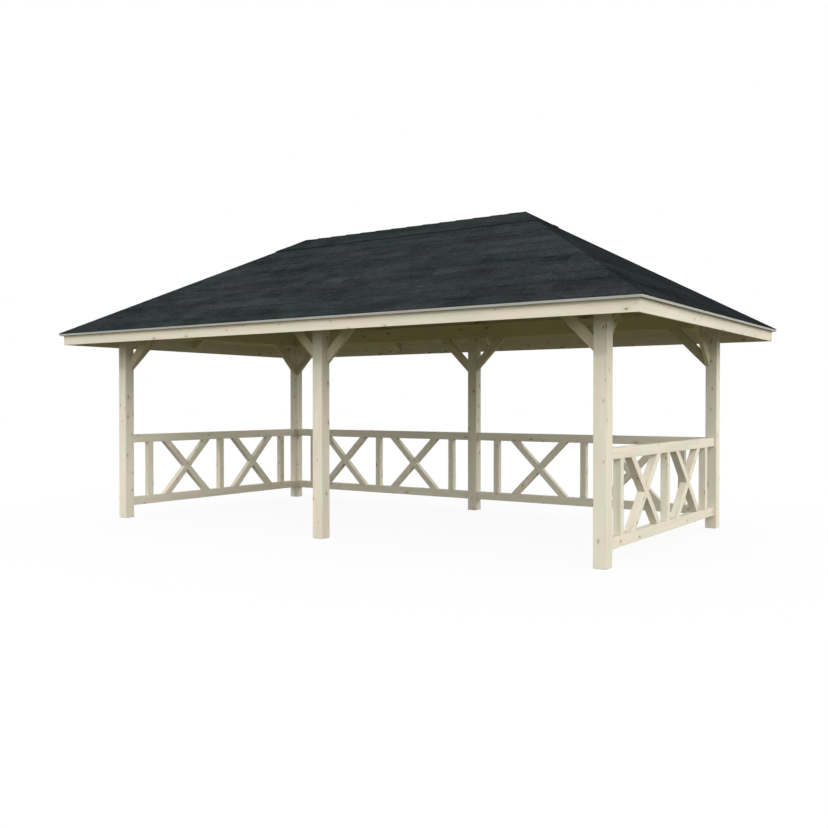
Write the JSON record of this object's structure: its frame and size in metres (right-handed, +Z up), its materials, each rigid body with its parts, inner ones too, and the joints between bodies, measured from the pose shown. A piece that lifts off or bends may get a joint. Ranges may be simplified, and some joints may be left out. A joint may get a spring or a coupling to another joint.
{
  "type": "garden gazebo",
  "caption": "Open timber garden gazebo with a hipped shingle roof, knee-braced posts, an open front and low cross-braced railings round the other sides.",
  "frame": {"origin": "on the ground at the middle of the plan", "axes": "+X along the ridge to the right, +Y from the open front to the back, +Z up"},
  "size_m": [7, 4.03, 3.3154],
  "materials": {
    "post_timber": "matte",
    "beam_timber": "matte",
    "brace_timber": "matte",
    "railing_timber": "matte",
    "rafter_timber": "matte",
    "roof_boards": "matte",
    "fascia_timber": "matte",
    "shingles": "matte",
    "drip_metal": "satin"
  },
  "bodies": {
    "root": {"beam_back": "beam_timber", "beam_front": "beam_timber", "beam_left": "beam_timber", "beam_right": "beam_timber", "braces_back_left": "brace_timber", "braces_back_right": "brace_timber", "braces_front_left": "brace_timber", "braces_front_right": "brace_timber", "braces_left_end": "brace_timber", "braces_right_end": "brace_timber", "drip_strip_back": "drip_metal", "drip_strip_front": "drip_metal", "drip_strip_left": "drip_metal", "drip_strip_right": "drip_metal", "fascia_back": "fascia_timber", "fascia_front": "fascia_timber", "fascia_left": "fascia_timber", "fascia_right": "fascia_timber", "hip_rafters_left": "rafter_timber", "hip_rafters_right": "rafter_timber", "post_back_left": "post_timber", "post_back_middle": "post_timber", "post_back_right": "post_timber", "post_front_left": "post_timber", "post_front_middle": "post_timber", "post_front_right": "post_timber", "rafter_left_end": "rafter_timber", "rafter_right_end": "rafter_timber", "rafters_left": "rafter_timber", "rafters_middle": "rafter_timber", "rafters_right": "rafter_timber", "railing_back_left": "railing_timber", "railing_back_right": "railing_timber", "railing_left_end": "railing_timber", "railing_right_end": "railing_timber", "ridge_beam": "rafter_timber", "ridge_cap": "shingles", "roof_boards_back": "roof_boards", "roof_boards_front": "roof_boards", "roof_boards_left": "roof_boards", "roof_boards_right": "roof_boards", "shingles_back": "shingles", "shingles_front": "shingles", "shingles_left": "shingles", "shingles_right": "shingles"}
  },
  "joints": []
}
